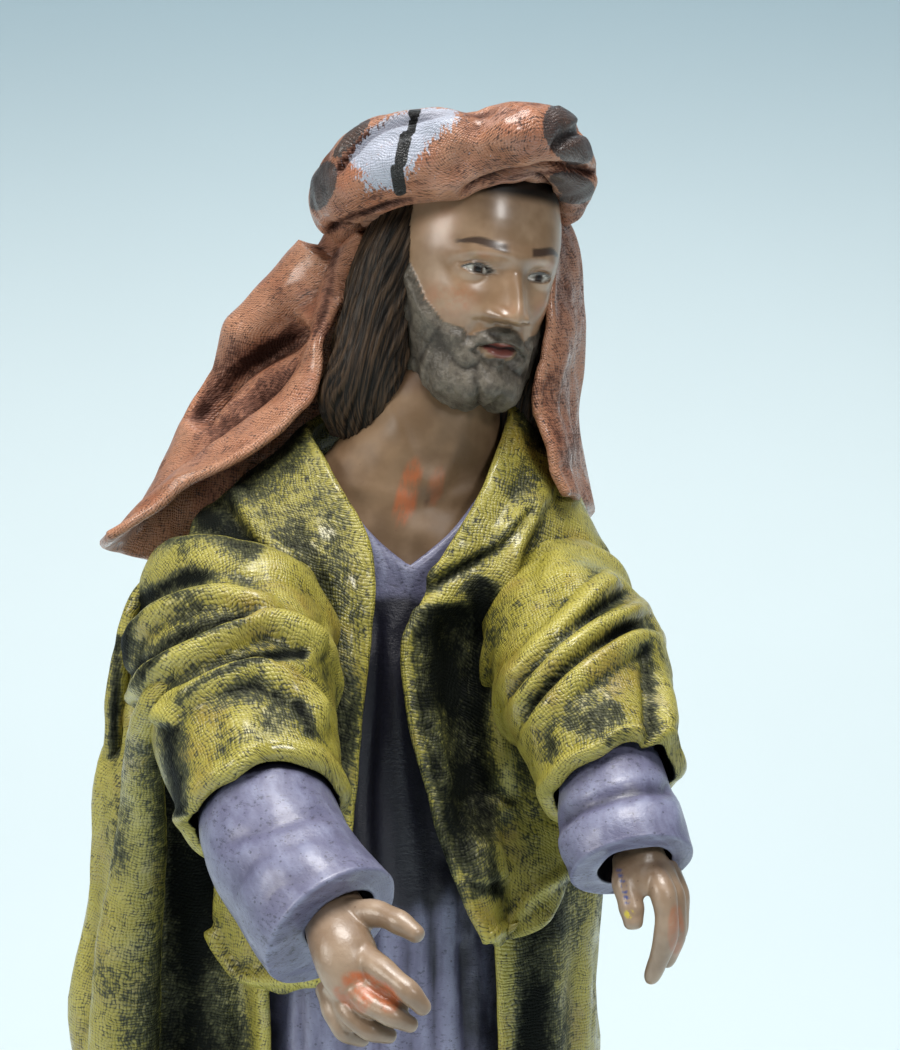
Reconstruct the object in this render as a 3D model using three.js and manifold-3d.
// Shepherd figurine: a painted clay figure dressed in stiffened cloth, on a low oval base.
// Millimetres, +Z up. The figure faces -Y, so its right hand is at -X.
// The origin is the middle of the base's underside.
// The clay body is one piece. The coat, the headcloth and the rolled headband are stiffened cloth laid over it,
// and the two hands are moulded apart and set into sockets in the cuffs.
import * as THREE from "three";
import { mergeVertices } from "three/addons/utils/BufferGeometryUtils.js";
import Module from "manifold-3d";

const wasm = await Module();
wasm.setup();

// Driving sizes
const totalHeight = 220;
const baseHeight = 8;
const baseHalfWidth = 37;
const baseHalfDepth = 28;
const clothThickness = 1.3;
const pieceGap = 0.35;
const headHalfWidth = 9.6;
const headHalfDepth = 11.8;
const headHalfHeight = 14;
const headCentre = new THREE.Vector3(8.2, -3.4, totalHeight - 18.4);
const headTurn = { yaw: 17, pitch: 8, roll: 7 };

const degrees = Math.PI / 180;
const clamp01 = (x) => Math.min(1, Math.max(0, x));
const mix = (a, b, t) => a + (b - a) * t;
const ease = (a, b, x) => {
  const t = clamp01((x - a) / (b - a));
  return t * t * (3 - 2 * t);
};
const bell = (x) => Math.exp(-x * x);

// A smooth value through evenly spaced rows of numbers, t from 0 at the first row to 1 at the last.
function through(rows, t) {
  const last = rows.length - 1;
  const place = clamp01(t) * last;
  const i = Math.min(last - 1, Math.floor(place));
  const f = place - i;
  const row = (k) => rows[Math.min(last, Math.max(0, k))];
  return rows[0].map((_, c) => {
    const [a, b, d, e] = [row(i - 1)[c], row(i)[c], row(i + 1)[c], row(i + 2)[c]];
    return b + 0.5 * f * (d - a + f * (2 * a - 5 * b + 4 * d - e + f * (3 * (b - d) + e - a)));
  });
}

// The same, for rows whose first number is where they stand, such as a height or an angle.
function throughAt(rows, where) {
  const places = rows.map((r) => r[0]);
  const rising = places[places.length - 1] > places[0];
  let i = 0;
  while (i < places.length - 2 && (rising ? where > places[i + 1] : where < places[i + 1])) i += 1;
  const f = clamp01((where - places[i]) / (places[i + 1] - places[i]));
  return through(rows.map((r) => r.slice(1)), (i + f) / (places.length - 1));
}

// Geometry from a grid of points, with the index list that closes it.
function geometryOf(points, triangles) {
  const geometry = new THREE.BufferGeometry();
  const numbers = points.flatMap((p) => [p.x, p.y, p.z]);
  geometry.setAttribute("position", new THREE.Float32BufferAttribute(numbers, 3));
  geometry.setIndex(triangles);
  return geometry;
}

// A closed body whose sections go round a line: point(u, v) for u round the section and v along the line.
// Its faces point out where u turns counter-clockwise about the way that v goes. A closed line makes a hoop.
function loft(around, along, point, closedLine = false) {
  const points = [];
  const triangles = [];
  const rowCount = closedLine ? along : along + 1;
  for (let j = 0; j < rowCount; j += 1) {
    for (let i = 0; i < around; i += 1) points.push(point(i / around, j / along));
  }
  const at = (i, j) => (j % rowCount) * around + (i % around);
  for (let j = 0; j < along; j += 1) {
    for (let i = 0; i < around; i += 1) {
      triangles.push(at(i, j), at(i + 1, j), at(i + 1, j + 1), at(i, j), at(i + 1, j + 1), at(i, j + 1));
    }
  }
  for (const j of closedLine ? [] : [0, along]) {
    const middle = new THREE.Vector3();
    for (let i = 0; i < around; i += 1) middle.addScaledVector(points[at(i, j)], 1 / around);
    const pole = points.push(middle) - 1;
    for (let i = 0; i < around; i += 1) {
      triangles.push(...(j === 0 ? [at(i + 1, j), at(i, j), pole] : [at(i, j), at(i + 1, j), pole]));
    }
  }
  return geometryOf(points, triangles);
}

// A closed sheet of cloth: its outer face is point(u, v), and its inner face lies a thickness behind it.
// Both faces move out by grow, to make room for a neighbour.
function sheet(across, down, point, thickness, grow = 0) {
  const step = 1e-3;
  const outer = [];
  const inner = [];
  for (let j = 0; j <= down; j += 1) {
    for (let i = 0; i <= across; i += 1) {
      const [u, v] = [i / across, j / down];
      const alongU = point(Math.min(1, u + step), v).sub(point(Math.max(0, u - step), v));
      const alongV = point(u, Math.min(1, v + step)).sub(point(u, Math.max(0, v - step)));
      const normal = alongU.clone().cross(alongV).normalize();
      const sideways = i === 0 ? -grow : i === across ? grow : 0;
      const downwards = j === 0 ? -grow : j === down ? grow : 0;
      const edge = alongU.normalize().multiplyScalar(sideways).addScaledVector(alongV.normalize(), downwards);
      outer.push(point(u, v).add(edge).addScaledVector(normal, grow));
      inner.push(point(u, v).add(edge).addScaledVector(normal, -thickness - grow));
    }
  }
  const count = outer.length;
  const at = (i, j) => j * (across + 1) + i;
  const triangles = [];
  const quad = (a, b, c, d) => triangles.push(a, b, c, a, c, d);
  for (let j = 0; j < down; j += 1) {
    for (let i = 0; i < across; i += 1) {
      const [a, b, c, d] = [at(i, j), at(i + 1, j), at(i + 1, j + 1), at(i, j + 1)];
      quad(a, b, c, d);
      quad(count + a, count + d, count + c, count + b);
    }
  }
  for (let i = 0; i < across; i += 1) {
    quad(at(i + 1, 0), at(i, 0), count + at(i, 0), count + at(i + 1, 0));
    quad(at(i, down), at(i + 1, down), count + at(i + 1, down), count + at(i, down));
  }
  for (let j = 0; j < down; j += 1) {
    quad(at(0, j), at(0, j + 1), count + at(0, j + 1), count + at(0, j));
    quad(at(across, j + 1), at(across, j), count + at(across, j), count + at(across, j + 1));
  }
  return geometryOf([...outer, ...inner], triangles);
}

// Booleans: geometry to solid and back.
function solidOf(geometry) {
  const bare = geometry.clone();
  bare.deleteAttribute("normal");
  bare.deleteAttribute("uv");
  const merged = mergeVertices(bare, 1e-4);
  return new wasm.Manifold(
    new wasm.Mesh({
      numProp: 3,
      vertProperties: merged.attributes.position.array,
      triVerts: new Uint32Array(merged.index.array),
    }),
  );
}
const joined = (solids) => solids.reduce((whole, next) => whole.add(next));
const biggest = (solid) => solid.decompose().sort((a, b) => b.volume() - a.volume())[0];
function geometryFrom(solid) {
  const { vertProperties, triVerts } = solid.getMesh();
  const geometry = new THREE.BufferGeometry();
  geometry.setAttribute("position", new THREE.Float32BufferAttribute(vertProperties, 3));
  geometry.setIndex([...triVerts]);
  geometry.computeVertexNormals();
  return geometry;
}

// A limb or roll: rows of [x, y, z, half width, half height] along its line, and swell(u, v) more radius.
// Its width lies along +X as nearly as the line allows.
function limbPoint(rows, swell = () => 0) {
  const centre = (v) => new THREE.Vector3(...through(rows, v).slice(0, 3));
  return (u, v) => {
    const forward = centre(Math.min(1, v + 0.01)).sub(centre(Math.max(0, v - 0.01))).normalize();
    const side = new THREE.Vector3(1, 0, 0).addScaledVector(forward, -forward.x).normalize();
    const up = forward.clone().cross(side);
    const [halfWidth, halfHeight] = through(rows, v).slice(3);
    const turn = 2 * Math.PI * u;
    const more = swell(u, v);
    return centre(v)
      .addScaledVector(side, Math.cos(turn) * (halfWidth + more))
      .addScaledVector(up, Math.sin(turn) * (halfHeight + more));
  };
}
const limb = (around, along, rows, swell) => solidOf(loft(around, along, limbPoint(rows, swell)));

// Clay body: tunic, arms in the tunic's sleeves, neck, head, hair, beard and feet
const tunicFoot = baseHeight + 6;
const tunicTop = 180;
const tunicRows = [
  // height, middle x, middle y, half width, half depth
  [tunicFoot, 1.5, -1, 22, 17.5],
  [40, 1, -1, 20.5, 16.5],
  [80, 0, -2, 19.5, 15],
  [115, -0.8, -2.5, 18.5, 14.5],
  [140, 0, -2, 17.5, 13],
  [158, 0.6, -1.5, 18, 12.5],
  [168, 1, -1, 17.5, 11],
  [175, 1.6, -1, 14, 9],
  [tunicTop, 2.4, -1.5, 8, 7],
];
// Folds that hang from the chest and deepen towards the hem, and end under the neck
const tunicFolds = {
  count: 11, lean: 0.8, hemDepth: 1.5, chestDepth: 0.5, hem: 20, chest: 165, start: 158, end: 172,
};
function tunicFold(turn, height) {
  const { count, lean, hemDepth, chestDepth, hem, chest, start, end } = tunicFolds;
  const wave = Math.cos(count * turn + lean * Math.sin(3 * turn)) + 0.4 * Math.cos(5 * turn + 1.3);
  return mix(hemDepth, chestDepth, ease(hem, chest, height)) * wave * ease(end, start, height);
}
// More of the tunic's rows lie at the shoulders than at the hem
const rowCrowding = 0.6;
function tunic(columns, rows, grow, foldDepth) {
  return solidOf(loft(columns, rows, (u, v) => {
    const height = mix(tunicFoot, tunicTop, Math.pow(v, rowCrowding));
    const [x, y, halfWidth, halfDepth] = throughAt(tunicRows, height);
    const turn = 2 * Math.PI * u;
    const more = foldDepth * tunicFold(turn, height) + grow;
    return new THREE.Vector3(
      x + Math.cos(turn) * (halfWidth + more),
      y + Math.sin(turn) * (halfDepth + more),
      height + (v === 0 ? -grow : 0) + (v === 1 ? grow : 0),
    );
  }));
}

// Arms from the shoulder to the flat end of the cuff: [x, y, z, half width, half height]
const armRows = {
  right: [
    [-12, 2, 161.5, 6, 6],
    [-18.8, -6.5, 161, 6, 6],
    [-20.3, -15.5, 158.8, 6, 6],
    [-20.5, -24.5, 154.6, 6.1, 6.1],
    [-19.6, -33, 148.6, 6.7, 6.7],
    [-19, -39.5, 144, 7.2, 7.1],
    [-17.4, -44.3, 140.5, 7.4, 7.6],
    [-15.3, -48.1, 137.5, 7.6, 8.2],
  ],
  left: [
    [12, 0.5, 168, 5.6, 5.6],
    [17.8, -8, 166, 5.6, 5.6],
    [17.4, -15, 162, 5.6, 5.6],
    [16.4, -22, 158, 5.4, 5.4],
    [16.4, -28.3, 153.2, 5.2, 5.2],
    [16.8, -33.5, 148.7, 5.4, 5.4],
    [16.7, -37.5, 144.8, 6.3, 6.1],
    [17, -41, 140.6, 6.6, 6.3],
  ],
};
const cuffSockets = {
  // radius, depth, and where its middle lies from the middle of the cuff's end: aside and above
  right: { radius: 3.9, depth: 6, aside: 0.9, above: 0.7, wrist: 2.9, wristAside: 0 },
  left: { radius: 3.9, depth: 6, aside: 0.2, above: 0.3, wrist: 2.4, wristAside: 0.9 },
};
// A row of a round limb in the socket's line, at a distance out of its mouth and a distance aside.
function socketRow(side, out, more, radius) {
  const rows = armRows[side];
  const { aside, above } = cuffSockets[side];
  const end = new THREE.Vector3(...rows.at(-1).slice(0, 3));
  const forward = end.clone().sub(new THREE.Vector3(...through(rows, 0.98).slice(0, 3))).normalize();
  const across = new THREE.Vector3(1, 0, 0).addScaledVector(forward, -forward.x).normalize();
  const up = forward.clone().cross(across);
  end.addScaledVector(across, aside + more).addScaledVector(up, above).addScaledVector(forward, out);
  return [...end, radius, radius];
}
function cuffSocket(side) {
  const { radius, depth } = cuffSockets[side];
  return limb(10, 1, [socketRow(side, -depth, 0, radius), socketRow(side, 1, 0, radius)]);
}

// Head, in its own frame: +X the figure's left, -Y the face, +Z the crown
const headFrame = new THREE.Matrix4()
  .makeTranslation(headCentre.x, headCentre.y, headCentre.z)
  .multiply(new THREE.Matrix4().makeRotationZ(headTurn.yaw * degrees))
  .multiply(new THREE.Matrix4().makeRotationY(headTurn.roll * degrees))
  .multiply(new THREE.Matrix4().makeRotationX(headTurn.pitch * degrees));

// How far the face stands from an even oval, by the way it faces: side and up, each from -1 to 1.
function faceRelief(side, up) {
  const brow = 0.4 * bell((up - 0.16) / 0.1) * bell(side / 0.5);
  const eyes = -0.7 * bell((Math.abs(side) - 0.32) / 0.2) * bell(up / 0.14);
  const bridge = mix(0.6, 2.6, ease(0.1, -0.34, up));
  const nose = bridge * bell(side / 0.17) * ease(0.2, 0, up) * ease(-0.52, -0.38, up);
  const cheeks = 0.4 * bell((Math.abs(side) - 0.42) / 0.22) * bell((up + 0.28) / 0.22);
  const chin = 0.9 * bell(side / 0.4) * bell((up + 0.9) / 0.16);
  return brow + eyes + nose + cheeks + chin;
}
const beard = { depth: 1.9, lumps: 0.5 };
function beardRelief(side, up) {
  const region = ease(-0.34, -0.56, up + 0.2 * (1 - Math.abs(side)));
  const lumps = Math.sin(8 * side + 4 * up) * Math.sin(9 * up - 3 * side);
  return region * (beard.depth + beard.lumps * lumps);
}
function head() {
  const columns = 22;
  const rows = 14;
  const poleAngle = 0.03;
  const geometry = loft(columns, rows, (u, v) => {
    const polar = Math.PI * mix(poleAngle, 1 - poleAngle, v);
    // More columns lie on the face than on the back of the head
    const turn = 2 * Math.PI * u;
    const about = turn - 0.45 * Math.sin(turn + Math.PI / 2) + Math.PI;
    const way = new THREE.Vector3(
      Math.sin(polar) * Math.cos(about),
      Math.sin(polar) * Math.sin(about),
      -Math.cos(polar),
    );
    const front = ease(0.1, 0.75, -way.y);
    const jaw = 1 - 0.2 * ease(-0.1, -1, way.z);
    const more = front * (faceRelief(way.x, way.z) + beardRelief(way.x, way.z));
    return new THREE.Vector3(
      way.x * (headHalfWidth * jaw + more),
      way.y * (headHalfDepth * mix(1, 0.92, ease(-0.2, -1, way.z)) + more),
      way.z * (headHalfHeight + 0.5 * more),
    );
  });
  return solidOf(geometry.applyMatrix4(headFrame));
}

// The plain oval of the skull with room round it
function skullRoom(room) {
  const oval = new THREE.SphereGeometry(1, 16, 8);
  oval.scale(headHalfWidth + room, headHalfDepth + room, headHalfHeight + room);
  return solidOf(oval.applyMatrix4(headFrame));
}

const neckRows = [
  // from the shoulders up into the head
  [1.6, -2, 171, 10, 8.5],
  [2.6, -3.2, 179, 7.8, 7],
  [4.8, -3.6, 187, 6.6, 6.6],
  [7, -2, 197, 6, 6.5],
];
// Long hair falls from the temples to the shoulders: [x, y, z, half width, half depth]
const hairRows = {
  right: [
    [1.4, -2, 208, 1.6, 3.4],
    [-0.4, -3, 202, 3, 4.6],
    [-2.2, -3.4, 193, 3.8, 4.6],
    [-4, -3.6, 184.5, 4.2, 3.8],
    [-5, -3, 179, 3.2, 2.6],
  ],
  left: [
    [15.6, 0.4, 208, 1.6, 3.4],
    [16.4, -0.6, 202, 2.6, 4.4],
    [15.4, -1.2, 193, 3.2, 4.2],
    [13.4, -1.6, 185, 3.4, 3.4],
    [11.6, -1.2, 179.5, 2.6, 2.4],
  ],
};

// Feet in sandals, toes towards -Y: [x, y, z, half width, half height]
const footRows = {
  right: [
    [-7.5, 2, baseHeight + 5, 4, 4.6],
    [-8, -6, baseHeight + 4.2, 4, 3.8],
    [-8.6, -14, baseHeight + 3.2, 4.4, 2.8],
    [-9.2, -22, baseHeight + 2.4, 4, 2],
  ],
  left: [
    [10, 2, baseHeight + 5, 4, 4.6],
    [10.8, -5, baseHeight + 4.2, 4, 3.8],
    [12, -12.5, baseHeight + 3.2, 4.4, 2.8],
    [13.2, -20, baseHeight + 2.4, 4, 2],
  ],
};
function foot(side) {
  const point = limbPoint(footRows[side]);
  return solidOf(loft(8, 4, (u, v) => {
    const p = point(u, v);
    p.z = Math.max(p.z, baseHeight + pieceGap);
    return p;
  }));
}

// The clay in few faces, with the room that the cloth round it needs
const coreRoom = { tunic: 1.3, limb: 0.95, skull: 0.6 };
const bothSides = (make) => ["right", "left"].map(make);
const hair = (columns, rows, grow) => bothSides((side) => limb(columns, rows, hairRows[side], () => grow));
const arms = (columns, rows, grow) => bothSides((side) => limb(columns, rows, armRows[side], () => grow));
function clothRoom() {
  const trunk = [tunic(18, 7, coreRoom.tunic, 0), limb(8, 3, neckRows, () => coreRoom.limb)];
  return joined([...trunk, ...arms(8, 8, coreRoom.limb), ...hair(6, 3, coreRoom.limb)]);
}
function clayBody() {
  const trunk = [tunic(26, 7, 0, 1), head(), limb(12, 3, neckRows)];
  const whole = joined([...trunk, ...arms(11, 8, 0), ...hair(8, 3, 0), foot("right"), foot("left")]);
  return whole.subtract(cuffSocket("right")).subtract(cuffSocket("left"));
}

// Coat: a long open coat, its sleeves, and the broad folded lapels that go round the neck
const coatRows = [
  // height, half width, depth from the middle to the back
  [184, 8, 8],
  [180.5, 12, 9.5],
  [176.5, 19, 11],
  [171, 25, 12],
  [160, 28, 14],
  [145, 29, 16],
  [112, 30, 18],
  [68, 31.5, 20.5],
  [24, 34, 23],
];
// Plan of the coat below the arms: angle from the front towards the figure's right, distance from the middle
const coatPlan = [
  [52, 21.5],
  [64, 22.5],
  [76, 33],
  [95, 36.5],
  [125, 30],
  [155, 25],
  [180, 23.5],
  [215, 24],
  [250, 24],
  [280, 23.5],
  [310, 22.5],
  [334, 21],
];
const coatFolds = { count: 9, depth: 1.5, smallCount: 17, smallDepth: 0.6 };
// Below the hips the coat widens and its middle moves to the figure's left
const coatFlare = { from: 112, to: 24, widening: 0.1, shift: 5 };
const hemWave = 1.2;
function coatPoint(u, v) {
  const angle = mix(coatPlan[0][0], coatPlan.at(-1)[0], u);
  const [height, halfWidth, depth] = through(coatRows, Math.pow(v, 1.15));
  const turn = angle * degrees;
  // From an even oval at the shoulders it settles into the plan, sooner at the right front's hanging roll
  const oval = 1 / Math.hypot(Math.sin(turn) / halfWidth, Math.cos(turn) / depth);
  const [plan] = throughAt(coatPlan, angle);
  const pastRoll = ease(76, 95, angle);
  const settled = ease(mix(168, 172, pastRoll), mix(140, 112, pastRoll), height);
  const flare = ease(coatFlare.from, coatFlare.to, height);
  const { count, depth: foldDepth, smallCount, smallDepth } = coatFolds;
  const largeWaves = foldDepth * Math.cos(count * turn + 0.6 * Math.sin(2 * turn));
  const smallWaves = smallDepth * Math.cos(smallCount * turn + 1);
  const insideEdges = ease(0, 0.1, u) * ease(1, 0.93, u);
  const waves = (largeWaves + smallWaves) * ease(160, 60, height) * insideEdges;
  const reach = mix(oval, plan * (1 + coatFlare.widening * flare), settled) + waves;
  const neckLean = 2 * ease(165, 182, height) - 1.5 * bell((height - 160) / 16);
  const middle = neckLean + coatFlare.shift * flare;
  const wave = hemWave * Math.cos(3 * turn) * ease(0.8, 1, v);
  return new THREE.Vector3(middle - Math.sin(turn) * reach, -Math.cos(turn) * reach, height + wave);
}

// Lapels: a ribbon round the neck and down both fronts, given by its inner and its outer edge
const lapelEdges = [
  // inner x, y, z, then outer x, y, z, from the right front's hem round the neck to the left front's hem
  [-11.6, -21.5, 125, -22.5, -12, 129.5],
  [-9, -20.5, 138, -25, -13, 141],
  [-7.2, -18.5, 150, -25, -13, 153],
  [-5.6, -16.5, 161, -25, -9, 164],
  [-5, -13.5, 170.5, -23.6, -6, 169.3],
  [-7.6, -8.5, 179, -21, 1.5, 173.6],
  [-6.4, 1, 184.5, -14, 10, 172.5],
  [2, 6.5, 186, 1.5, 13.5, 171.5],
  [10, 4, 187, 16, 10, 171.5],
  [13, -4, 186, 21.6, 1, 172.6],
  [8, -12.5, 176.5, 23.6, -6, 169],
  [2.4, -16.2, 168.6, 24, -10, 163],
  [-1.7, -18.4, 160.5, 22, -13, 153],
  [-1.2, -20.6, 150, 20, -16, 143],
  [2.4, -22.8, 138.6, 18, -18.5, 138],
  [5.4, -24.6, 129.6, 15, -20.5, 134.5],
];
// Relief across the lapels: an even bow, a rolled strip by the inner edge, and on the left front a deep valley
const lapelBow = 1.8;
const lapelStrip = { at: 0.12, width: 0.12, height: 0.9 };
const lapelValley = { at: 0.4, width: 0.2, depth: 3.2, from: 0.68, full: 0.78 };
const lapelHemSag = 2.6;
const lapelExtra = 0.5;
function lapelPoint(u, v) {
  const row = through(lapelEdges, u);
  const inner = new THREE.Vector3(...row.slice(0, 3));
  const outer = new THREE.Vector3(...row.slice(3));
  const strip = lapelStrip.height * bell((v - lapelStrip.at) / lapelStrip.width);
  const onLeftFront = ease(lapelValley.from, lapelValley.full, u);
  const valley = lapelValley.depth * onLeftFront * bell((v - lapelValley.at) / lapelValley.width);
  const rise = lapelBow * Math.sin(Math.PI * v) + strip - valley;
  const away = inner.clone().lerp(outer, 0.5).setZ(0).normalize();
  const sag = lapelHemSag * Math.sin(Math.PI * v) * (ease(0.08, 0, u) + ease(0.94, 1, u));
  return inner.lerp(outer, v).addScaledVector(away, rise).add(new THREE.Vector3(0, 0, -sag));
}

// Sleeves of the coat, from the shoulder to a rolled hem at mid forearm
const sleeveRows = {
  right: [
    [-12, 4, 162, 8, 7.6],
    [-17.5, -1.5, 162.6, 9.4, 8.8],
    [-19.4, -8.5, 161.8, 9.8, 9.4],
    [-20.2, -15.5, 159.8, 10, 9.8],
    [-20.5, -22.6, 156.6, 9.6, 9.4],
    [-20.3, -29.2, 152.3, 9, 9],
    [-19.7, -36.2, 146.6, 9.2, 9.2],
  ],
  left: [
    [11, 2, 166, 8.2, 7.6],
    [16.6, -4.5, 166.2, 8.6, 8.4],
    [17.6, -11.5, 163.8, 8.9, 8.8],
    [17, -18.5, 160.4, 9, 9],
    [16, -25, 156.2, 8.4, 8.4],
    [16.4, -30.5, 151.9, 7.5, 7.5],
    [16.9, -34.8, 148, 7.4, 7.4],
  ],
};
// Folds that ring the upper arm: place along the sleeve, a tilt that moves it on the outer side, height, width
const sleeveFolds = [
  { place: 0.26, tilt: 0.08, height: 1.9, width: 0.05 },
  { place: 0.42, tilt: 0.1, height: 2.2, width: 0.05 },
  { place: 0.56, tilt: 0.08, height: 2.3, width: 0.045 },
  { place: 0.68, tilt: 0.03, height: 1.6, width: 0.035 },
];
const sleeveSlack = 0.3;
const hemRoll = { place: 0.985, height: 0.45, width: 0.03 };
const mouthDepth = 0.16;
function sleeveSwell(side, u, v) {
  const outward = side === "right" ? -Math.cos(2 * Math.PI * u) : Math.cos(2 * Math.PI * u);
  const folds = sleeveFolds.reduce((sum, fold) => {
    const centre = fold.place + fold.tilt * outward;
    return sum + fold.height * bell((v - centre) / fold.width);
  }, 0);
  return folds - sleeveSlack + hemRoll.height * bell((v - hemRoll.place) / hemRoll.width);
}
function sleeve(side, grow) {
  const rows = sleeveRows[side];
  const outside = limb(10, 15, rows, (u, v) => sleeveSwell(side, u, v) + grow);
  const last = new THREE.Vector3(...rows.at(-1));
  const forward = last.clone().sub(new THREE.Vector3(...through(rows, 0.97))).normalize();
  const mouth = [1 - mouthDepth, 1].map((v) => {
    const row = through(rows, v);
    return [...row.slice(0, 3), row[3] - clothThickness - grow, row[4] - clothThickness - grow];
  });
  mouth.push([...last.addScaledVector(forward, 1 + grow), ...mouth[1].slice(3)]);
  return outside.subtract(limb(10, 2, mouth));
}
const lapelThickness = clothThickness + lapelExtra;
const lapels = (grow) => solidOf(sheet(23, 4, (u, v) => lapelPoint(u, 1 - v), lapelThickness, grow));
function coat() {
  const body = solidOf(sheet(25, 7, coatPoint, clothThickness));
  return joined([body, lapels(0), sleeve("right", 0), sleeve("left", 0)]).subtract(clothRoom());
}

// Headband: two twisted strands rolled into a ring, high over the brow and lower behind
const headband = { x: 7, y: -2, z: 210.2, halfWidth: 12.4, halfDepth: 13.4, rise: 4.4 };
const bandSection = { halfRadial: 3.4, halfHeight: 4.7, groove: 0.15, twists: 3, phase: 1 };
const headbandFrame = new THREE.Matrix4()
  .makeTranslation(headband.x, headband.y, headband.z)
  .multiply(new THREE.Matrix4().makeRotationZ(headTurn.yaw * degrees));
// A point by its angle from the brow, its distance out from the ring's middle line and its height above it;
// reach draws the middle line in, from 1 on the ring to 0 in its middle.
function headbandPoint(about, out, above, reach = 1) {
  return new THREE.Vector3(
    Math.sin(about) * (headband.halfWidth + out) * reach,
    -Math.cos(about) * (headband.halfDepth + out) * reach,
    headband.rise * Math.cos(about) * reach + above,
  ).applyMatrix4(headbandFrame);
}
function headbandRing() {
  const { halfRadial, halfHeight, groove, twists, phase } = bandSection;
  return solidOf(loft(8, 25, (u, v) => {
    const about = 2 * Math.PI * v;
    const round = 2 * Math.PI * u;
    const lobes = 1 + groove * Math.cos(2 * round - twists * about + phase);
    return headbandPoint(about, Math.cos(round) * halfRadial * lobes, -Math.sin(round) * halfHeight * lobes);
  }, true));
}
const headbandSolid = () => headbandRing().subtract(crown(pieceGap)).subtract(hangingCloth(pieceGap));

// Headcloth: a dome over the crown that fills the headband's ring, and a hanging cloth
const crownDome = { inset: 1.2, skirt: 3.5, height: 6.8 };
function crown(grow) {
  const { inset, skirt, height } = crownDome;
  const rows = 5;
  const flatTop = 0.97;
  return solidOf(loft(18, rows, (u, v) => {
    const climb = clamp01((v * rows - 1) / (rows - 1)) * flatTop * 0.5 * Math.PI;
    const above = v === 0 ? -skirt - grow : (height + grow) * Math.sin(climb);
    return headbandPoint(2 * Math.PI * u, grow - inset, above, Math.cos(climb));
  }));
}
// The hanging cloth is given by five lines from inside the headband to its hem
const headclothRibs = [
  // right front edge, with its point out over the shoulder
  [
    [-2.4, -0.6, 212], [-4.4, -0.2, 204.8], [-6, -0.8, 199], [-7.6, -2.6, 193.5],
    [-10.5, -5, 186], [-19, -3.4, 178.4], [-31.2, 3, 170],
  ],
  // right side
  [
    [-0.6, 5, 212], [-3.6, 6.4, 205], [-12, 9.5, 198.7], [-18, 12.5, 191.5],
    [-21.8, 12.6, 183], [-25, 12.4, 174.5], [-28.6, 13, 166.5],
  ],
  // back
  [
    [6, 7.6, 211], [5.4, 10, 203], [4.4, 12.4, 197.5], [2.4, 16.2, 191],
    [1, 18.4, 183], [-0.6, 19.4, 174], [-2, 20.5, 163],
  ],
  // left side
  [
    [14.4, 4, 212], [17.6, 4.8, 205], [20.8, 5.8, 199.4], [22.6, 6.8, 192.5],
    [23.2, 7.4, 185], [24.8, 7.4, 177], [28, 8.2, 169],
  ],
  // left front edge
  [
    [15.6, -5, 212], [17.6, -5, 204.8], [18.2, -6.2, 199], [17.8, -7.6, 192],
    [17, -8.8, 186], [18, -10.3, 181], [19.6, -11.2, 176],
  ],
];
// A deep hollow beside the right shoulder, pushed in towards the back, and shallow waves across the back
const headclothFolds = { hollowDepth: 5.5, backCount: 8, backDepth: 0.9 };
const hollowWay = new THREE.Vector3(0.55, 0.84, 0);
function headclothPoint(u, v) {
  const ribs = headclothRibs.map((rib) => through(rib, v));
  const p = new THREE.Vector3(...through(ribs, u));
  const out = new THREE.Vector3(p.x - headband.x, p.y - headband.y, 0).normalize();
  const { hollowDepth, backCount, backDepth } = headclothFolds;
  const hollow = hollowDepth * bell((u - 0.12) / 0.07) * bell((v - 0.6) / 0.2);
  const onBack = ease(0.2, 0.35, u) * ease(1, 0.9, u) * ease(0.25, 0.7, v);
  const waves = backDepth * Math.cos(backCount * Math.PI * u) * onBack;
  return p.addScaledVector(out, waves).addScaledVector(hollowWay, hollow);
}
const hangingCloth = (grow) => solidOf(sheet(20, 7, headclothPoint, clothThickness, grow));
function headcloth() {
  const shoulders = joined([lapels(pieceGap), ...bothSides((side) => sleeve(side, pieceGap))]);
  const room = joined([skullRoom(coreRoom.skull), ...hair(6, 3, coreRoom.limb)]);
  return joined([crown(0), hangingCloth(0)]).subtract(room).subtract(shoulders);
}

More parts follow.
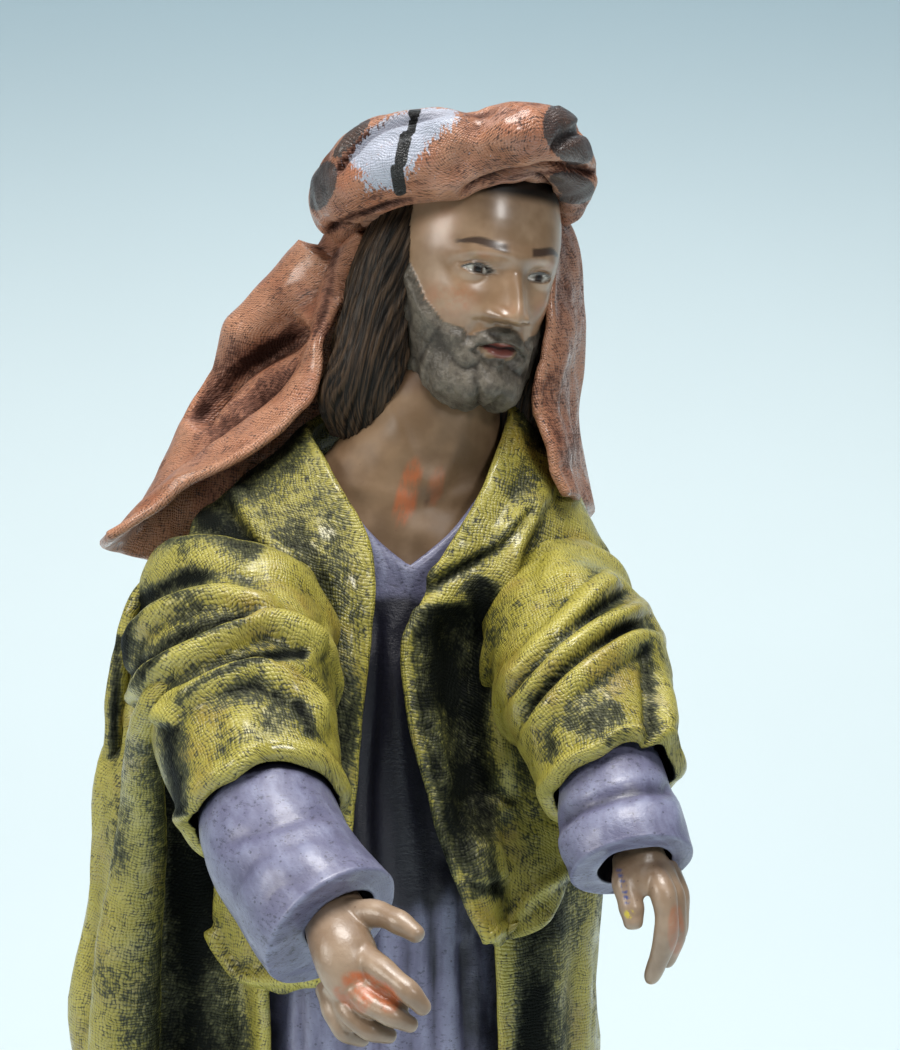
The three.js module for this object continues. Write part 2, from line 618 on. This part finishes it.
// Hands: a wrist in the socket, a palm, and fingers given by their joints from the knuckle to the tip
const palmRows = {
  right: [[-13.8, -51, 135.8, 3.8, 2.6], [-12.4, -55, 134, 3, 2]],
  left: [[19.2, -42, 138.8, 3.2, 2.3], [20.2, -42.6, 136.8, 2.8, 1.8]],
};
const fingerJoints = {
  right: {
    thumb: [[-12.6, -48.6, 138.6], [-10.8, -53, 139.4], [-9.1, -56, 139], [-7.6, -57, 138]],
    index: [[-12.2, -53, 136], [-10, -57.6, 135.4], [-8, -61.2, 133.4], [-7.8, -59.6, 131]],
    middle: [[-13, -53.5, 134.6], [-11.3, -58.2, 133], [-9.9, -60, 130.6], [-9.9, -57.4, 128.8]],
    ring: [[-13.8, -52, 133.8], [-12.6, -56.6, 131.4], [-11.2, -57.4, 128.8], [-10.9, -54.8, 127.2]],
    little: [[-14.6, -50, 133.2], [-14, -53.4, 130.2], [-12.6, -53.8, 127.8], [-12, -51.4, 126.6]],
  },
  left: {
    thumb: [[17.6, -40, 141.4], [15.8, -42.8, 139.4], [15.4, -44.8, 137.2], [15.8, -45.6, 135.4]],
    index: [[18.2, -42, 139.8], [19, -46, 137.6], [19.2, -46.4, 133], [18.3, -43.6, 129.8]],
    middle: [[19.6, -40.8, 139.2], [21.2, -43.8, 136.8], [21.2, -44, 132.4], [20.2, -41, 129]],
    ring: [[21, -41, 137.6], [22.6, -40.8, 136.2], [22.6, -41.6, 132.2], [21.8, -39, 129]],
    little: [[21.6, -40.6, 136.4], [23.6, -39, 134.8], [23.2, -38.6, 132.6], [22.4, -37, 130.2]],
  },
};
const fingerRadii = [1.5, 1.35, 1.2, 0.9];
const fingerScale = { thumb: 1.05, index: 1, middle: 1, ring: 1, little: 0.92 };
function finger(name, joints) {
  const rows = joints.map((joint, i) => {
    const radius = fingerRadii[i] * fingerScale[name];
    return [...joint, radius, radius];
  });
  return limb(6, 3, rows);
}
function hand(side) {
  const { depth, wrist, wristAside } = cuffSockets[side];
  const stub = [1.5 - depth, 0.4].map((out) => socketRow(side, out, wristAside, wrist));
  const fingers = Object.entries(fingerJoints[side]).map(([name, joints]) => finger(name, joints));
  return joined([limb(10, 6, [...stub, ...palmRows[side]]), ...fingers]);
}

// Base: a low oval with a softened rim
function base() {
  const profile = [[0.985, 0], [1, 0.12], [1, 0.7], [0.985, 0.9], [0.94, 1]];
  return solidOf(loft(26, profile.length - 1, (u, v) => {
    const [reach, up] = profile[Math.round(v * (profile.length - 1))];
    const turn = 2 * Math.PI * u;
    return new THREE.Vector3(
      Math.cos(turn) * baseHalfWidth * reach,
      Math.sin(turn) * baseHalfDepth * reach,
      baseHeight * up,
    );
  }));
}

const clothLook = { roughness: 0.75, metalness: 0 };
const looks = {
  clay_body: { color: 0x8a82a6, roughness: 0.5, metalness: 0 },
  coat: { color: 0xa39a3e, ...clothLook },
  headcloth: { color: 0xb87a58, ...clothLook },
  headband: { color: 0xbb7c5a, ...clothLook },
  right_hand: { color: 0xc2a186, roughness: 0.35, metalness: 0 },
  left_hand: { color: 0xc2a186, roughness: 0.35, metalness: 0 },
  base: { color: 0x6a5a44, roughness: 0.8, metalness: 0 },
};
const solids = {
  clay_body: clayBody(),
  coat: coat(),
  headcloth: headcloth(),
  headband: headbandSolid(),
  right_hand: hand("right"),
  left_hand: hand("left"),
  base: base(),
};

const figurine = new THREE.Group();
for (const [name, solid] of Object.entries(solids)) {
  const mesh = new THREE.Mesh(geometryFrom(biggest(solid)), new THREE.MeshStandardMaterial(looks[name]));
  mesh.name = name;
  figurine.add(mesh);
}

export default figurine;
